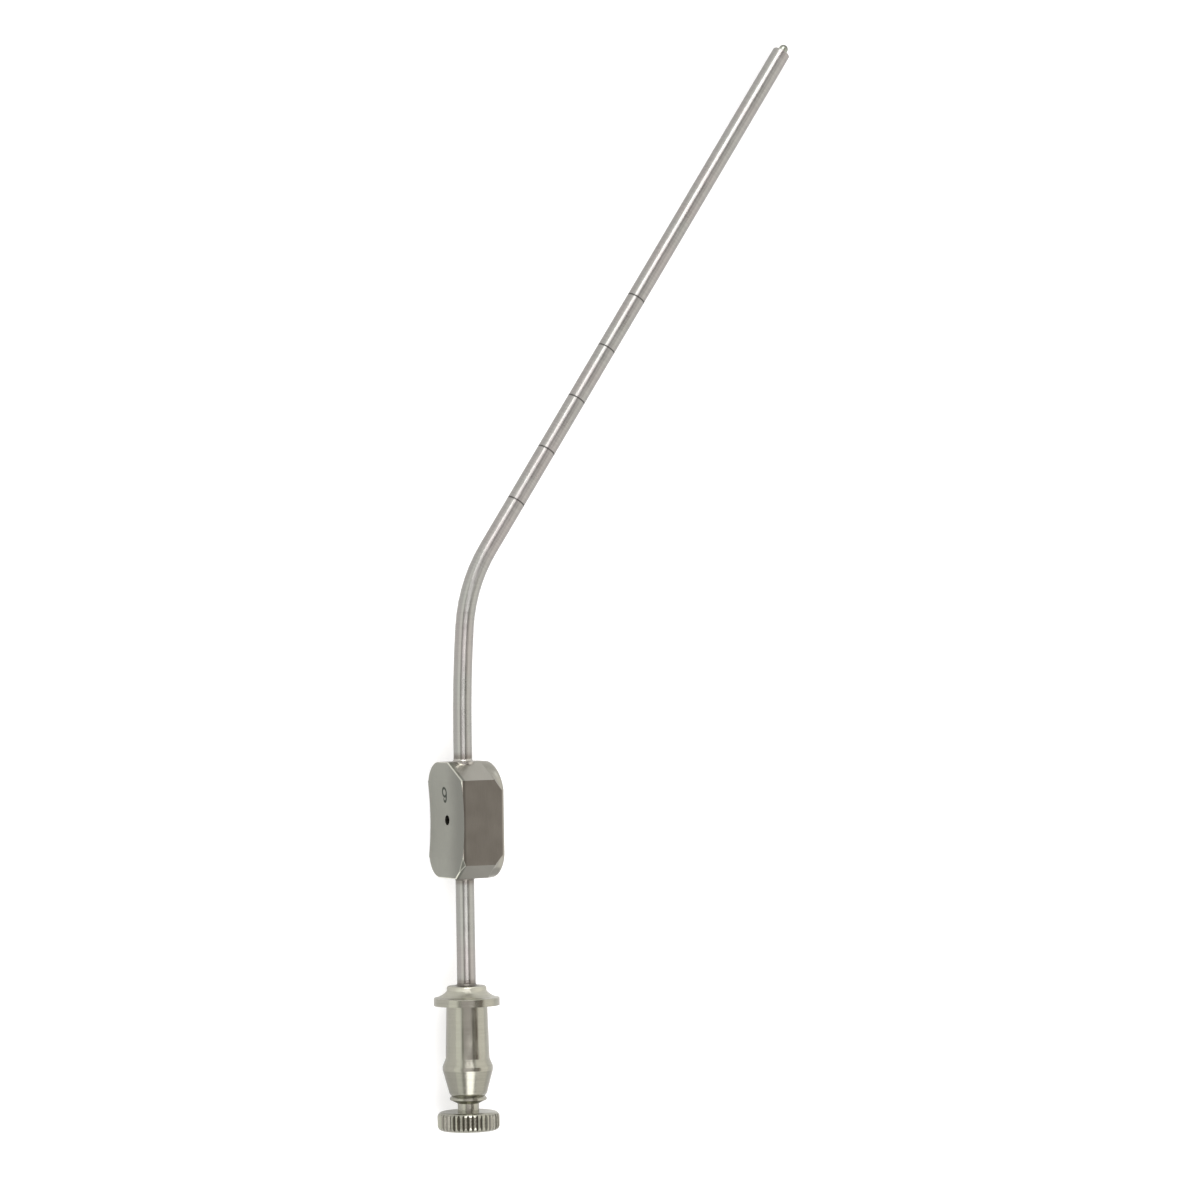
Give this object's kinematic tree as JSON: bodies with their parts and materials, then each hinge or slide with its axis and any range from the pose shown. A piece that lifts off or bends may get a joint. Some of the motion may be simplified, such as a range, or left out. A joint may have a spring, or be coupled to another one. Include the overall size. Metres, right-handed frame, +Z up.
{
  "type": "suction tube",
  "caption": "Slim bent steel suction tube with a vented finger rest, a barbed hose connector and a pushed-in stylet with a knurled knob.",
  "frame": {"origin": "on the table, under the middle of the box round the instrument as it lies at rest", "axes": "+Z up from the table; +Y along the handle, from the knurled knob towards the working tip; +X the way the tube bends"},
  "size_m": [0.0672, 0.1765, 0.0129],
  "materials": {
    "tube_steel": "fine brushed stainless steel with etched depth marks",
    "rest_steel": "satin stainless steel",
    "connector_steel": "turned and polished stainless steel",
    "wire_steel": "drawn stainless steel",
    "knob_steel": "turned stainless steel with straight knurling",
    "solder": "smooth silver solder"
  },
  "bodies": {
    "root": {"suction_tube": "tube_steel", "finger_rest": "rest_steel", "hose_connector": "connector_steel", "stylet_wire": "wire_steel", "stylet_head": "knob_steel", "solder_above_rest": "solder", "solder_below_rest": "solder", "solder_at_connector": "solder"}
  },
  "joints": []
}
